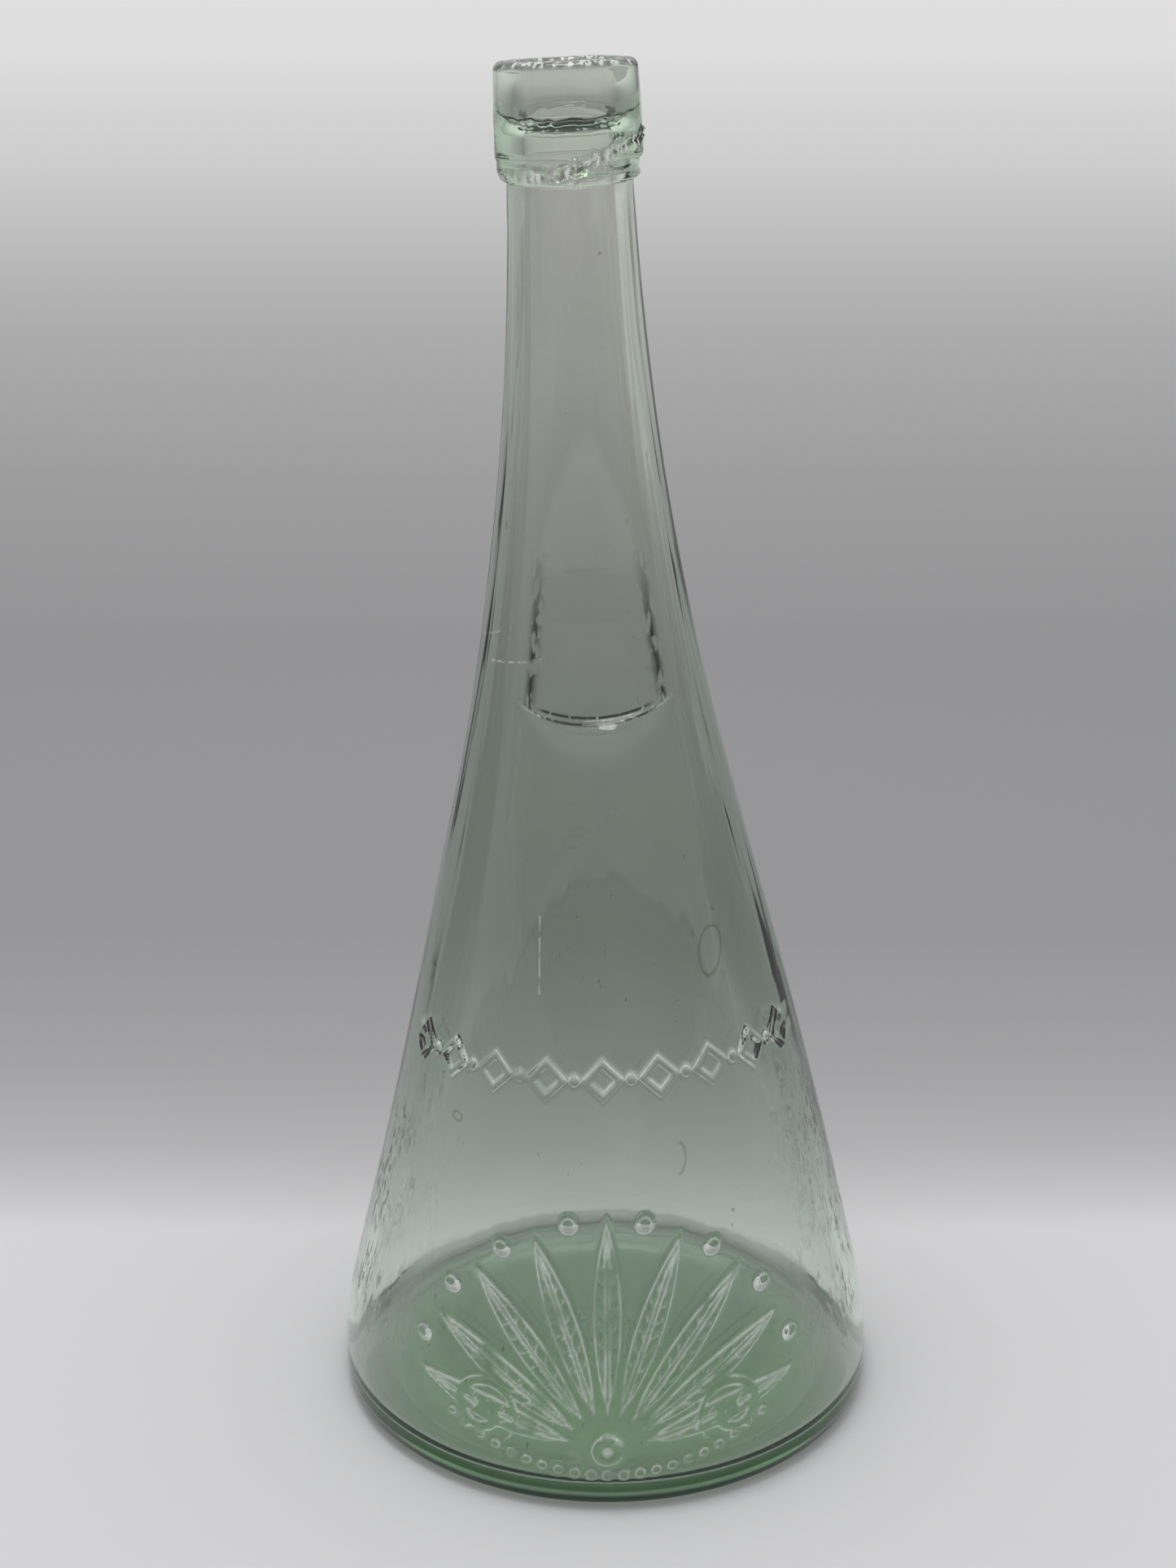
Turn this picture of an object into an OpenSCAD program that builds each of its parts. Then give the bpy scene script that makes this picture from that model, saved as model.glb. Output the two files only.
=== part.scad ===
// Cone-shaped glass bottle with a leaning neck, a thumb recess and an applied lip, all one piece of glass.
// Millimetres, +Z up, origin at the centre of the ring that it stands on, front towards -Y.

/* [Body] */
// Height to the middle of the mouth, measured along the bottle
height = 280; // [270:1:300]
// Largest diameter, at the heel
heel_d = 115.8; // [112:0.2:120]
// Radius of the heel's rounding, down to the flat ring that the bottle stands on
heel_r = 5.4; // [4:0.2:8]
// Width of that ring
foot_w = 8; // [5:0.5:11]
// Height at which the straight side begins
side_z = 23.5; // [18:0.5:28]
// Height at which the straight side ends and the curve of the neck begins
flare_z = 137.5; // [125:0.5:150]
// Thickness of the side wall
wall = 3.6; // [3:0.1:4.4]

/* [Base] */
// Rise of the hollow pushed up under the base
push_up = 9; // [5:0.5:14]
// Thickness of the glass over that hollow
bottom = 7; // [5:0.5:10]
// Radius of the inside corner between the floor and the side
corner_r = 9; // [6:0.5:11]

/* [Neck] */
// Outer diameter of the neck just under the lip
neck_d = 24.2; // [23.6:0.1:25]
// Slope of the neck just under the lip, in degrees
neck_slope = 1.7; // [1:0.1:2.2]
// Inner diameter of the neck just under the lip
neck_bore_d = 16.8; // [15.6:0.1:17.6]
// Lean of the neck towards -X, in degrees
neck_lean = 2.15; // [0.5:0.05:3]
// Height on the straight side at which the lean begins
lean_z = 72; // [68:1:76]

/* [Lip] */
// Largest diameter of the lip
lip_d = 28.2; // [27.6:0.1:29.4]
// Height of the lip, with the roll under it
lip_h = 22; // [19:0.5:25]
// How much narrower the lip is at its top
lip_taper = 0.8; // [0:0.1:1.2]
// Diameter of the roll under the lip
roll_d = 26.9; // [26.4:0.1:27.4]
// Height of that roll
roll_h = 3.6; // [3.2:0.1:4.5]
// Radius of the lip's rounded edges
lip_r = 1; // [0.6:0.1:1.4]
// Diameter of the mouth
mouth_d = 18.4; // [17.8:0.1:19.2]
// Depth of the straight mouth
mouth_depth = 13; // [10:0.5:15]

/* [Thumb recess] */
// Distance from the axis of the neck to the flat of the recess
flat_y = 16.3; // [15.5:0.1:17.5]
// Height of the lower end of the flat
flat_z = 156; // [150:1:162]
// Radius of the rounded lower end
flat_r = 28; // [26:0.5:32]
// Slope of the ledge at the lower end, in degrees
ledge_slope = 13; // [5:1:25]

/* [Ornament] */
// How far the ornament stands out of the side
relief = 0.7; // [0.4:0.1:1]
// Height of the middle of the band
band_z = 88; // [86:0.5:92]
// Number of lozenges in the band
lozenges = 9; // [5:1:11]
// Diagonal of a lozenge
lozenge_d = 9; // [7:0.5:10]
// Diameter of a stud between two lozenges
stud_d = 2.6; // [2:0.1:3]
// Angle between the outermost lozenges, in degrees
band_span = 128; // [110:1:130]
// Height of the root of the palmette
root_z = 14; // [12:0.5:15]
// Diameter of the root
root_d = 7; // [5:0.5:8]
// Number of leaves
leaves = 9; // [5:2:11]
// Angle between the outermost leaves, in degrees
leaf_span = 152; // [130:1:156]
// Length of the middle leaf
leaf_l = 40; // [34:1:42]
// Length of an outermost leaf
side_leaf_l = 33; // [28:1:35]
// Width of a leaf
leaf_w = 6; // [4.6:0.2:6.6]
// Diameter of a berry between two leaf tips
berry_d = 3.2; // [2.4:0.2:4]

/* [Hidden] */
$fn = 96;
// Steps in the outline of each rounded stretch
edge_steps = 5;
belly_steps = 4;
neck_steps = 16;
hollow_steps = 8;
// Angles from level at which the rounding of the roll ends and that of the lip begins
roll_end = 60;
lip_start = -75;
// A length that reaches past the bottle, and the overlap of a solid with what it joins or cuts
far = 3 * height;
lap = 1;
// Outlines are rounded to this, so that both halves of a leaning form are cut from the very same cone
micron = 0.001;

foot_r = heel_d / 2 - heel_r;
hollow_edge_r = foot_r - foot_w;
lip_z = height - lip_h;
// The straight side loses radius by its full slope, and the belly and the curve of the neck by half of it
side_fall = (side_z - heel_r) / 2 + flare_z - side_z + (lip_z - flare_z) / 2;
side_slope = atan((heel_d / 2 - neck_d / 2 - tan(neck_slope) * (lip_z - flare_z) / 2) / side_fall);
// The inner side lies this far inside the outer one, measured level
inset = wall / cos(side_slope);
// Radius of the hollow under the base, which is part of a sphere
hollow_r = (pow(hollow_edge_r, 2) + pow(push_up, 2)) / (2 * push_up);

// Radius at height z of the straight side, drawn on past its ends
function side_r(z) = heel_d / 2 - (z - (side_z + heel_r) / 2) * tan(side_slope);

function rounded(x) = round(x / micron) * micron;

// Height of the point of the axis about which the upper half leans
pivot = rounded(lean_z - side_r(lean_z) * tan(side_slope));

// Points on an arc from angle a to angle b
function arc(centre, r, a, b, steps) =
    [for (i = [0:steps]) centre + r * [cos(a + (b - a) * i / steps), sin(a + (b - a) * i / steps)]];

// Points on a parabola from a to c that touches the lines from both to b
function curve(a, b, c, steps) =
    [for (i = [0:steps]) let (t = i / steps) pow(1 - t, 2) * a + 2 * t * (1 - t) * b + t * t * c];

// Curve from a straight side, moved in by side_inset, to a neck of radius r under the lip
function flare(side_inset, r) =
    let (far_r = r + lip_z * tan(neck_slope),
         knee_z = (side_r(0) - side_inset - far_r) / (tan(side_slope) - tan(neck_slope)),
         knee = [side_r(knee_z) - side_inset, knee_z],
         start_z = 2 * knee_z - lip_z)
    curve([side_r(start_z) - side_inset, start_z], knee, [r, lip_z], neck_steps);

// Curve from the widest place to the straight side
function belly() =
    curve([heel_d / 2, heel_r], [heel_d / 2, (heel_r + side_z) / 2], [side_r(side_z), side_z], belly_steps);

// Outline of a skin on the side, up to height top_z, that reaches from lap inside it to relief outside it
function skin_outline(top_z) =
    let (side = concat(belly(), [[side_r(top_z), top_z]]), out = [relief / cos(side_slope), 0])
    concat([for (p = side) p + out], [for (i = [len(side) - 1:-1:0]) side[i] - [lap, 0]]);

// Outline of the lip, from the roll under it to its rounded top
function lip_outline() =
    let (crease_z = lip_z + roll_h, r = lip_d / 2 - lip_r, top_r = (lip_d - lip_taper) / 2 - lip_r)
    concat(
        arc([roll_d / 2 - lip_r, lip_z + lip_r], lip_r, -90, roll_end, edge_steps),
        arc([r, crease_z + lip_r], lip_r, lip_start, 0, edge_steps),
        [[lip_d / 2, lip_z + lip_h / 2]],
        arc([top_r, height - lip_r], lip_r, 0, 90, edge_steps));

// Outline of the outside, from the hollow under the base to the top of the lip
function glass_outline() =
    let (half_angle = asin(hollow_edge_r / hollow_r))
    concat(
        arc([0, push_up - hollow_r], hollow_r, 90, 90 - half_angle, hollow_steps),
        arc([foot_r, heel_r], heel_r, -90, -90 / edge_steps, edge_steps - 1),
        belly(),
        flare(0, neck_d / 2),
        lip_outline(),
        [[0, height]]);

// Outline of the space inside. The floor lies over the hollow at the thickness of the bottom, and an arc of
// corner_r touches the floor and the straight side.
function cavity_outline() =
    let (floor_r = hollow_r + bottom,
         centre_z = push_up - hollow_r,
         m = side_r(0) - inset - corner_r / cos(side_slope),
         t = tan(side_slope),
         reach = pow(floor_r + corner_r, 2) - m * m - centre_z * centre_z,
         b = m * t + centre_z,
         corner_z = (b + sqrt(b * b + (1 + t * t) * reach)) / (1 + t * t),
         corner = [m - t * corner_z, corner_z],
         floor_end = atan2(corner_z - centre_z, corner[0]))
    concat(
        arc([0, centre_z], floor_r, 90, floor_end, hollow_steps),
        arc(corner, corner_r, floor_end - 180, side_slope, edge_steps),
        flare(inset, neck_bore_d / 2),
        [[neck_bore_d / 2, height - mouth_depth - (mouth_d - neck_bore_d) / 2]],
        [[mouth_d / 2, height - mouth_depth]],
        arc([mouth_d / 2 + lip_r, height - lip_r], lip_r, 180, 90, edge_steps),
        [[mouth_d / 2 + lip_r, height + lap]],
        [[0, height + lap]]);

// Turns its children by half of the lean, towards -X or back
module half_turn(way = 1) {
    rotate([0, -way * neck_lean / 2, 0]) children();
}

// Leans its children with the upper half of the bottle
module lean() {
    translate([0, 0, pivot]) half_turn() half_turn() translate([0, 0, -pivot]) children();
}

// All that lies above level z. The block is raised in two steps, because a length is kept to six digits.
module above(z) {
    translate([-far / 2, -far / 2, rounded(z)]) translate([0, 0, z - rounded(z)]) cube(far);
}

// A form of revolution with its upper half leaning, drawn with the joint level and the pivot at the origin. The
// side's cone and its leaning copy touch one sphere around the pivot, so both meet the joint in the same ellipse
// and nothing steps there.
module leaning(outline) {
    points = [for (p = outline) [rounded(p[0]), rounded(p[1])]];
    side = [for (i = [1:len(points) - 1]) if (points[i - 1][1] < lean_z && points[i][1] > lean_z) i][0];
    a = points[side - 1];
    b = points[side];
    slope = atan((a[0] - b[0]) / (b[1] - a[1]));
    apex = a[1] + a[0] / tan(slope);
    joint_z = (apex - pivot) * pow(sin(slope), 2) / cos(neck_lean / 2);
    translate([0, 0, pivot]) half_turn() {
        difference() {
            half_turn(-1) translate([0, 0, -pivot]) rotate_extrude() polygon(points);
            above(joint_z);
        }
        intersection() {
            half_turn() translate([0, 0, -pivot]) rotate_extrude() polygon(points);
            above(joint_z);
        }
    }
}

// What the thumb recess takes away, pushed inwards by grow
module recess(grow) {
    depth = heel_d / 2;
    lean() translate([0, -flat_y + grow, flat_z + flat_r]) rotate([90, 0, 0])
        cylinder(h = depth, r1 = flat_r + grow, r2 = flat_r + grow + depth * tan(ledge_slope));
}

// A pointed oval of length l and width w that stands on the origin, drawn flat
module leaf_shape(l, w) {
    r = (l * l + w * w) / (4 * w);
    intersection() {
        translate([r - w / 2, l / 2]) circle(r);
        translate([w / 2 - r, l / 2]) circle(r);
    }
}

// Length of a leaf at an angle from the upright one, and reach of a berry there
function leaf_long(angle) = leaf_l - (leaf_l - side_leaf_l) * abs(angle) / (leaf_span / 2);

// A fan of leaves with a berry between each two tips, drawn flat
module palmette_shape() {
    step = leaf_span / (leaves - 1);
    circle(d = root_d);
    for (angle = [-leaf_span / 2:step:leaf_span / 2 + step / 4])
        rotate(-angle) translate([0, root_d]) leaf_shape(leaf_long(angle), leaf_w);
    for (angle = [(step - leaf_span) / 2:step:leaf_span / 2])
        rotate(-angle) translate([0, root_d + leaf_long(angle)]) circle(d = berry_d);
}

// A skin on the side, as far out as the face of the ornament, to which the ornament is cut
module raised(top_z) {
    rotate_extrude() polygon(skin_outline(top_z));
}

// Palmette low on the front
module palmette() {
    intersection() {
        raised(root_z + root_d + leaf_l + berry_d);
        translate([0, 0, root_z]) rotate([90, 0, 0]) linear_extrude(heel_d) palmette_shape();
    }
}

// Puts its children on the side at height band_z, at an angle from the front, as a boss through the skin
module on_band(angle) {
    rotate([0, 0, angle]) translate([0, wall - side_r(band_z), band_z]) rotate([90, 0, 0])
        linear_extrude(2 * wall) children();
}

// Band of lozenges and studs round the front
module band() {
    step = band_span / (lozenges - 1);
    lean() intersection() {
        raised(band_z + lozenge_d);
        for (i = [0:lozenges - 1]) {
            on_band(i * step - band_span / 2) circle(d = lozenge_d, $fn = 4);
            if (i < lozenges - 1) on_band((i + 0.5) * step - band_span / 2) circle(d = stud_d);
        }
    }
}

// The space inside, which keeps its wall behind the thumb recess
module cavity() {
    difference() {
        leaning(cavity_outline());
        recess(wall);
    }
}

// The whole bottle
module bottle() {
    color([0.66, 0.76, 0.70]) difference() {
        union() {
            leaning(glass_outline());
            palmette();
            band();
        }
        recess(0);
        cavity();
    }
}

bottle();
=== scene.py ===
"""Dresses the packed bottle: thick pale green glass with a leaning neck, a thumb recess, a crooked lip and
moulded ornament, on a pale floor with painted shade behind it and a painted pool of light under it. Lengths
are metres, the front faces -Y and the neck leans to -X."""

import math

import bpy
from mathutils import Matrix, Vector


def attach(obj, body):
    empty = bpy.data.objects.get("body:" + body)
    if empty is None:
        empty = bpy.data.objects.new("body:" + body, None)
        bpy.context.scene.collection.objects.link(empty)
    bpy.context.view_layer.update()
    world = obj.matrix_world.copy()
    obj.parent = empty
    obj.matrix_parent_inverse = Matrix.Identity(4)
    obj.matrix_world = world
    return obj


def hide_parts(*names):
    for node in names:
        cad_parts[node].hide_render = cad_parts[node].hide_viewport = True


bl_info = {
    "name": "Leaning Glass Bottle",
    "version": (1, 0, 0),
    "blender": (4, 5, 0),
    "location": "View3D > Sidebar > Bottle",
    "description": "Adds a cone-shaped bottle of old moulded glass, and a plain stage for it",
    "category": "Add Mesh",
}

MM = 0.001
DEG = math.radians(1)
PHOTO_SIZE = (1445, 1927)

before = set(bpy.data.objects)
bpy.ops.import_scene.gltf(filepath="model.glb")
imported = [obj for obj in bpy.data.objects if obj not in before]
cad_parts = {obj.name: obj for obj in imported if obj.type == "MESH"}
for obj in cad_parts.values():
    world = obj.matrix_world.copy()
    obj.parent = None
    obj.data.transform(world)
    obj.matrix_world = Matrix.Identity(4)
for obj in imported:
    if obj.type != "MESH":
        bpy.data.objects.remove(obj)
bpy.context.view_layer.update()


def length(name, description, millimetres):
    return bpy.props.FloatProperty(
        name=name, description=description, default=millimetres * MM, min=0, unit="LENGTH",
        subtype="DISTANCE")


def angle(name, description, degrees):
    return bpy.props.FloatProperty(
        name=name, description=description, default=degrees * DEG, unit="ROTATION", subtype="ANGLE")


def count(name, description, number):
    return bpy.props.IntProperty(name=name, description=description, default=number, min=1)


def amount(name, description, value):
    return bpy.props.FloatProperty(name=name, description=description, default=value, min=0)


def colour(name, description, value):
    return bpy.props.FloatVectorProperty(
        name=name, description=description, default=value, size=3, min=0, max=1, subtype="COLOR")


class BottleSizes(bpy.types.PropertyGroup):
    """Sizes of the bottle, measured on an upright one before its neck leans"""

    height: length("Height", "Height to the middle of the mouth", 280)
    heel_d: length("Heel diameter", "Largest diameter, at the heel", 115.8)
    heel_r: length("Heel rounding", "Radius of the rounding down to the foot ring", 5.4)
    foot_r: length("Foot rounding", "Radius of the visible rounding at the very foot", 4.2)
    foot_w: length("Foot width", "Width of the ring that the bottle stands on", 8)
    side_z: length("Side start", "Height at which the straight side begins", 23.5)
    flare_z: length("Side end", "Height at which the curve to the neck begins", 137.5)
    wall: length("Wall", "Thickness of the side wall", 3.6)
    push_up: length("Push-up", "Rise of the hollow under the base", 9)
    bottom: length("Bottom", "Thickness of the glass over that hollow", 6.5)
    corner_r: length("Inside corner", "Radius between the floor and the side", 3.6)
    neck_d: length("Neck diameter", "Outer diameter just under the lip", 24.2)
    neck_slope: angle("Neck slope", "Slope of the neck just under the lip", 1.7)
    bore_d: length("Bore", "Inner diameter of the neck", 16.8)
    lean: angle("Lean", "Lean of the neck towards -X", 2.15)
    lean_low: length("Lean start", "Height at which the lean begins", 21.4)
    lean_high: length("Lean end", "Height at which the lean is whole", 101.4)
    lip_d: length("Lip diameter", "Largest diameter of the lip", 28.2)
    lip_h: length("Lip height", "Height of the lip with its roll", 22)
    lip_taper: length("Lip taper", "How much narrower the lip is at its top", 0.8)
    roll_d: length("Roll diameter", "Diameter of the roll under the lip", 26.9)
    roll_h: length("Roll height", "Height of that roll", 3.6)
    lip_r: length("Lip rounding", "Radius of the lip's lower edges", 1)
    rim_r: length("Rim rounding", "Radius of the lip's upper edge", 1.7)
    mouth_d: length("Mouth", "Diameter of the mouth", 18.4)
    mouth_depth: length("Mouth depth", "Depth of the straight mouth", 13)
    flat_y: length("Recess flat", "Distance from the axis to the flat of the thumb recess", 16.3)
    flat_z: length("Recess height", "Height of the lower end of the flat", 156)
    flat_r: length("Recess radius", "Radius of its rounded lower end", 28)
    ledge: angle("Ledge slope", "Slope of the ledge at that end", 13)


class BottleOrnament(bpy.types.PropertyGroup):
    """Sizes of the moulded ornament"""

    relief: length("Relief", "How far the ornament stands out", 0.9)
    band_z: length("Band height", "Height of the middle of the band", 88)
    lozenges: count("Lozenges", "Number of lozenges in the band", 9)
    lozenge_d: length("Lozenge", "Diagonal of a lozenge", 9)
    stud_d: length("Stud", "Diameter of a stud", 2.6)
    band_span: angle("Band span", "Angle between the outermost lozenges", 128)
    root_z: length("Root height", "Height of the root of the palmette", 14)
    root_d: length("Root", "Diameter of the root", 7)
    leaves: count("Leaves", "Number of leaves", 9)
    leaf_span: angle("Leaf span", "Angle between the outermost leaves", 152)
    leaf_l: length("Middle leaf", "Length of the middle leaf", 40)
    side_leaf_l: length("Side leaf", "Length of an outermost leaf", 33)
    leaf_w: length("Leaf width", "Width of a leaf", 6)
    berry_d: length("Berry", "Diameter of a berry", 3.2)
    scroll_x: length("Scroll place", "Distance of a scroll's eye from the middle", 25)
    scroll_z: length("Scroll height", "Height of a scroll's eye", 19.5)
    scroll_r: length("Scroll", "Radius of a scroll", 7.5)
    pearl_d: length("Pearl", "Diameter of a pearl of the swag under the palmette", 2.6)


class BottleGlass(bpy.types.PropertyGroup):
    """Colours and wear of the glass, with the colours of its painted shade, painted light and painted
    highlights
    """

    ior: amount("Index of refraction", "How strongly the glass bends light", 1.52)
    tint: colour("Absorption colour", "Light that the body of the glass lets through", (0.10, 0.74, 0.17))
    density: amount("Absorption density", "How fast the glass takes the other light away, per metre", 22)
    # Plain white; it is also the colour of the painted glints on the lip and the painted highlights on the
    # ornament.
    clear: colour("Clear surface", "Tint of the surface at the base", (1.0, 1.0, 1.0))
    worn: colour("Worn surface", "Tint of the worn surface round the body", (0.67, 0.70, 0.665))
    neck: colour("Neck surface", "Tint of the surface of the neck", (0.89, 0.865, 0.86))
    collar: colour("Collar surface", "Tint of the surface just under the lip", (0.84, 0.805, 0.81))
    # Painted shade: a near-black green painted on the heel stands in for the dark look of light through the
    # thick glass there.
    heel: colour("Heel", "Tint of the thick glass at the heel", (0.002, 0.026, 0.009))
    # Partly painted light: the hollow under the base is rubbed, and its bright green stands in for the light
    # the base gathers.
    milky_and_lit: colour("Milky base", "Colour of the rubbed hollow under the base", (0.74, 0.92, 0.66))
    # Painted shade: near black painted along the wavy ring inside the mouth, in the crease of the lip and
    # along the ledge and sides of the thumb recess.
    ring: colour("Folds", "Tint of the dark folds at the mouth and the thumb recess", (0.001, 0.006, 0.003))
    streak: colour("Streaks", "Colour of the brownish streaks at the sides of the neck", (0.42, 0.36, 0.26))
    stain: colour("Stain", "Colour of the old staining low on the sides", (0.22, 0.22, 0.14))


class BottleStage(bpy.types.PropertyGroup):
    """Floor, light and camera"""

    near: colour("Floor near", "Colour of the floor under and before the bottle", (0.67, 0.665, 0.68))
    # Painted light: the pale pool painted on the floor under the base, where the glass would gather light.
    pool: colour("Light pool", "Colour of the floor where the base gathers light", (0.95, 0.96, 0.92))
    # Painted shade: the darker band of floor behind the bottle, between the near and the far colour.
    middle: colour("Floor middle", "Colour of the shaded floor behind it", (0.31, 0.307, 0.315))
    far: colour("Floor far", "Colour of the floor at the horizon", (0.88, 0.87, 0.87))
    lamp: amount("Lamp power", "Power of the soft lamp overhead, in watts", 3)
    sky: amount("Sky", "Strength of the even light from all round", 0.82)
    drop: length("Floor drop", "Gap between the foot ring and the floor", 0.15)


class Field:
    """A value in a node tree, whose arithmetic adds Math nodes to that tree."""

    def __init__(self, tree, socket):
        self.tree = tree
        self.socket = socket

    def math(self, operation, *others):
        node = self.tree.nodes.new("ShaderNodeMath")
        node.operation = operation
        for place, value in enumerate((self, *others)):
            if isinstance(value, Field):
                self.tree.links.new(value.socket, node.inputs[place])
            else:
                node.inputs[place].default_value = value
        return Field(self.tree, node.outputs[0])

    def constant(self, value):
        node = self.tree.nodes.new("ShaderNodeValue")
        node.outputs[0].default_value = value
        return Field(self.tree, node.outputs[0])

    def __add__(self, other):
        return self.math("ADD", other)

    def __radd__(self, other):
        return self.math("ADD", other)

    def __sub__(self, other):
        return self.math("SUBTRACT", other)

    def __rsub__(self, other):
        return self.constant(other).math("SUBTRACT", self)

    def __mul__(self, other):
        return self.math("MULTIPLY", other)

    def __rmul__(self, other):
        return self.math("MULTIPLY", other)

    def __truediv__(self, other):
        return self.math("DIVIDE", other)

    def __neg__(self):
        return self.math("MULTIPLY", -1)

    def __abs__(self):
        return self.math("ABSOLUTE")

    def __pow__(self, other):
        return self.math("POWER", other)

    def sin(self):
        return self.math("SINE")

    def cos(self):
        return self.math("COSINE")

    def tan(self):
        return self.math("TANGENT")

    def sqrt(self):
        return self.math("SQRT")

    def square(self):
        return self.math("MULTIPLY", self)

    def min(self, other):
        return self.math("MINIMUM", other)

    def max(self, other):
        return self.math("MAXIMUM", other)

    def smooth_max(self, other, rounding):
        return self.math("SMOOTH_MAX", other, rounding)

    def step(self, low, high):
        """0 below low, 1 above high and a smooth rise between them."""
        node = self.tree.nodes.new("ShaderNodeMapRange")
        node.interpolation_type = "SMOOTHSTEP"
        for name, value in (("Value", self), ("From Min", low), ("From Max", high)):
            if isinstance(value, Field):
                self.tree.links.new(value.socket, node.inputs[name])
            else:
                node.inputs[name].default_value = value
        return Field(self.tree, node.outputs[0])

    def mix(self, low, high):
        """low where this is 0 and high where it is 1."""
        return low + (high - low) * self

    def near(self, centre, width):
        """1 at centre, falling smoothly to 0 at a distance of width."""
        return 1 - abs(self - centre).step(0, width)


def vector(tree, x, y, z):
    node = tree.nodes.new("ShaderNodeCombineXYZ")
    for place, value in enumerate((x, y, z)):
        if isinstance(value, Field):
            tree.links.new(value.socket, node.inputs[place])
        else:
            node.inputs[place].default_value = value
    return node.outputs[0]


def parts(tree, socket):
    node = tree.nodes.new("ShaderNodeSeparateXYZ")
    tree.links.new(socket, node.inputs[0])
    return [Field(tree, out) for out in node.outputs]


def noise(tree, coordinates, scale, detail=2.0, roughness=0.5):
    node = tree.nodes.new("ShaderNodeTexNoise")
    node.inputs["Scale"].default_value = scale
    node.inputs["Detail"].default_value = detail
    node.inputs["Roughness"].default_value = roughness
    tree.links.new(coordinates, node.inputs["Vector"])
    return Field(tree, node.outputs[0])


def distance(a, b):
    """Length of the flat vector (a, b)."""
    return (a.square() + b.square()).sqrt()


def tangents(s):
    """Slope of the straight side, as its tangent, and that of the neck."""
    neck = math.tan(s.neck_slope)
    lip_z = s.height - s.lip_h
    fall = (s.side_z - s.heel_r) / 2 + s.flare_z - s.side_z + (lip_z - s.flare_z) / 2
    side = (s.heel_d / 2 - s.neck_d / 2 - neck * (lip_z - s.flare_z) / 2) / fall
    return side, neck


def arc(centre, radius, start, end, steps):
    """Points on an arc, from one angle to another in degrees."""
    angles = [math.radians(start + (end - start) * i / steps) for i in range(steps + 1)]
    return [(centre[0] + radius * math.cos(a), centre[1] + radius * math.sin(a)) for a in angles]


def line(a, b, spacing):
    """Points from a towards b, without b, about spacing apart."""
    steps = max(1, round(math.dist(a, b) / spacing))
    return [(a[0] + (b[0] - a[0]) * i / steps, a[1] + (b[1] - a[1]) * i / steps) for i in range(steps)]


class Outline:
    """Radius of the outside and of the inside at any height, from the sizes."""

    def __init__(self, s):
        self.s = s
        self.side_tan, self.neck_tan = tangents(s)
        self.lip_z = s.height - s.lip_h
        self.inset = s.wall * math.hypot(1, self.side_tan)

    def side(self, z):
        s = self.s
        return s.heel_d / 2 - (z - (s.side_z + s.heel_r) / 2) * self.side_tan

    def flare(self, z, inset, neck_r):
        """Radius on the parabola from the straight side to the neck, or on the straight side below it."""
        s = self.s
        knee = (self.side(0) - inset - neck_r - self.lip_z * self.neck_tan) / (self.side_tan - self.neck_tan)
        start = 2 * knee - self.lip_z
        if z <= start:
            return self.side(z) - inset
        t = (z - start) / (self.lip_z - start)
        knee_r = neck_r + (self.lip_z - knee) * self.neck_tan
        return (1 - t) ** 2 * (self.side(start) - inset) + 2 * t * (1 - t) * knee_r + t * t * neck_r

    def outside(self, z):
        s = self.s
        if z < s.side_z:
            t = (z - s.heel_r) / (s.side_z - s.heel_r)
            return s.heel_d / 2 - (s.heel_d / 2 - self.side(s.side_z)) * t * t
        return self.flare(z, 0, s.neck_d / 2)

    def inside(self, z):
        return self.flare(z, self.inset, self.s.bore_d / 2)


def azimuths(front, front_step, back_step):
    """Angles round the axis from the front, in degrees: close together within front, wider behind."""
    ahead = round(2 * front / front_step)
    behind = round((360 - 2 * front) / back_step)
    angles = [-front + 2 * front * i / ahead for i in range(ahead)]
    angles += [front + (360 - 2 * front) * i / behind for i in range(behind)]
    return sorted((a + 180) % 360 - 180 for a in angles)


def levels(stretches):
    """Heights from a list of (end, spacing) after a first height."""
    heights = [stretches[0]]
    for end, spacing in stretches[1:]:
        start = heights[-1]
        steps = max(1, round((end - start) / spacing))
        heights += [start + (end - start) * (i + 1) / steps for i in range(steps)]
    return heights


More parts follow.
